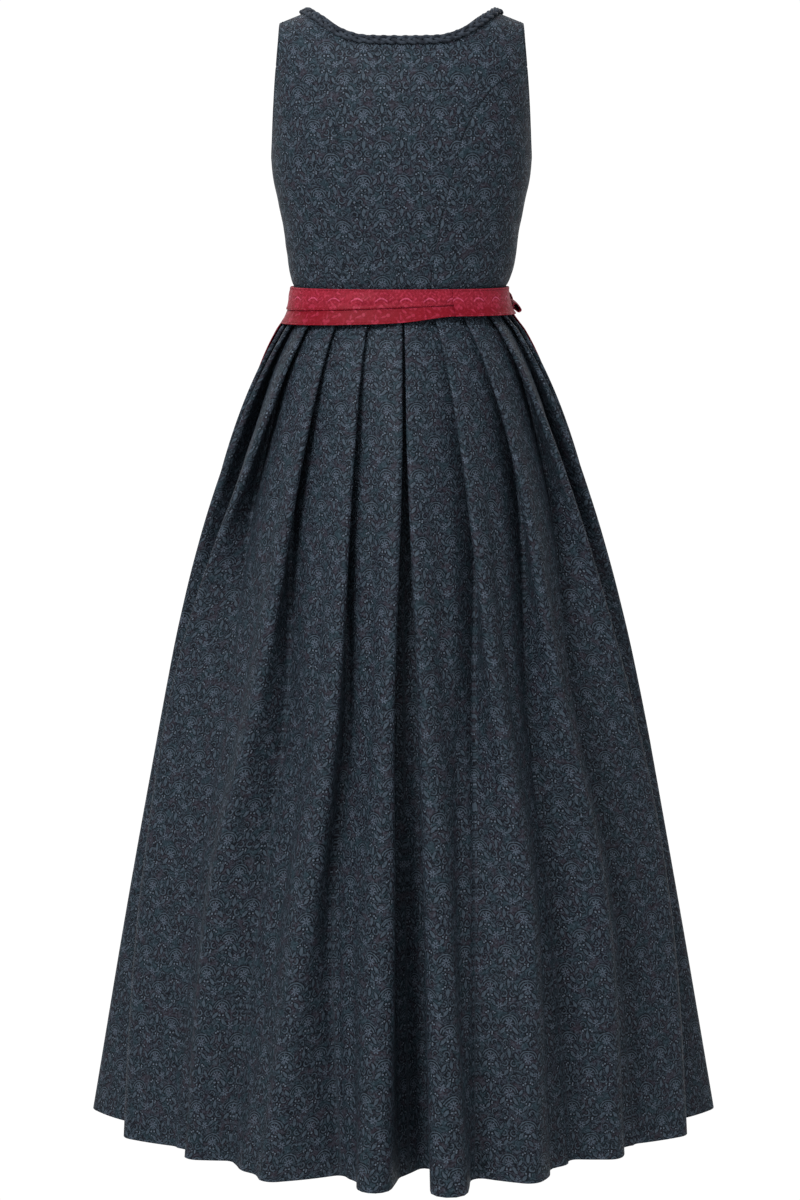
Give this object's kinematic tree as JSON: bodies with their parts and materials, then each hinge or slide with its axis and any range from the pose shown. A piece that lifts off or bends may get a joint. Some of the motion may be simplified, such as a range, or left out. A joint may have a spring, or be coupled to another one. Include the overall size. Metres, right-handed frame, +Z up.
{
  "type": "dirndl",
  "caption": "Long sleeveless dirndl in a navy floral jacquard with a plaited neck trim, a pleated skirt and a red apron tied at the waist with a bow.",
  "frame": {"origin": "midpoint between the wearer's shoulders, at the height of the middle of the straps", "axes": "+Z up, the garment's long axis; -Y the way the wearer faces; +X the wearer's left"},
  "size_m": [0.7612, 0.7044, 1.3221],
  "materials": {
    "dress": "small floral jacquard, soft sheen",
    "braid": "plaited cord of the dress cloth, matt",
    "apron_red": "satin jacquard with a tone-on-tone vine"
  },
  "bodies": {
    "root": {"bodice_back_centre": "dress", "bodice_back_side_left": "dress", "bodice_back_side_right": "dress", "bodice_front_side_left": "dress", "bodice_front_side_right": "dress", "bodice_front_left": "dress", "bodice_front_right": "dress", "neck_braid": "braid", "skirt_front_right": "dress", "skirt_back_right": "dress", "skirt_back_left": "dress", "skirt_front_left": "dress", "apron_panel": "apron_red", "apron_band": "apron_red", "apron_tie_under": "apron_red", "apron_tie_over": "apron_red", "bow_knot": "apron_red", "bow_loop_back": "apron_red", "bow_loop_front": "apron_red", "bow_tail_long": "apron_red", "bow_tail_short": "apron_red"}
  },
  "joints": []
}
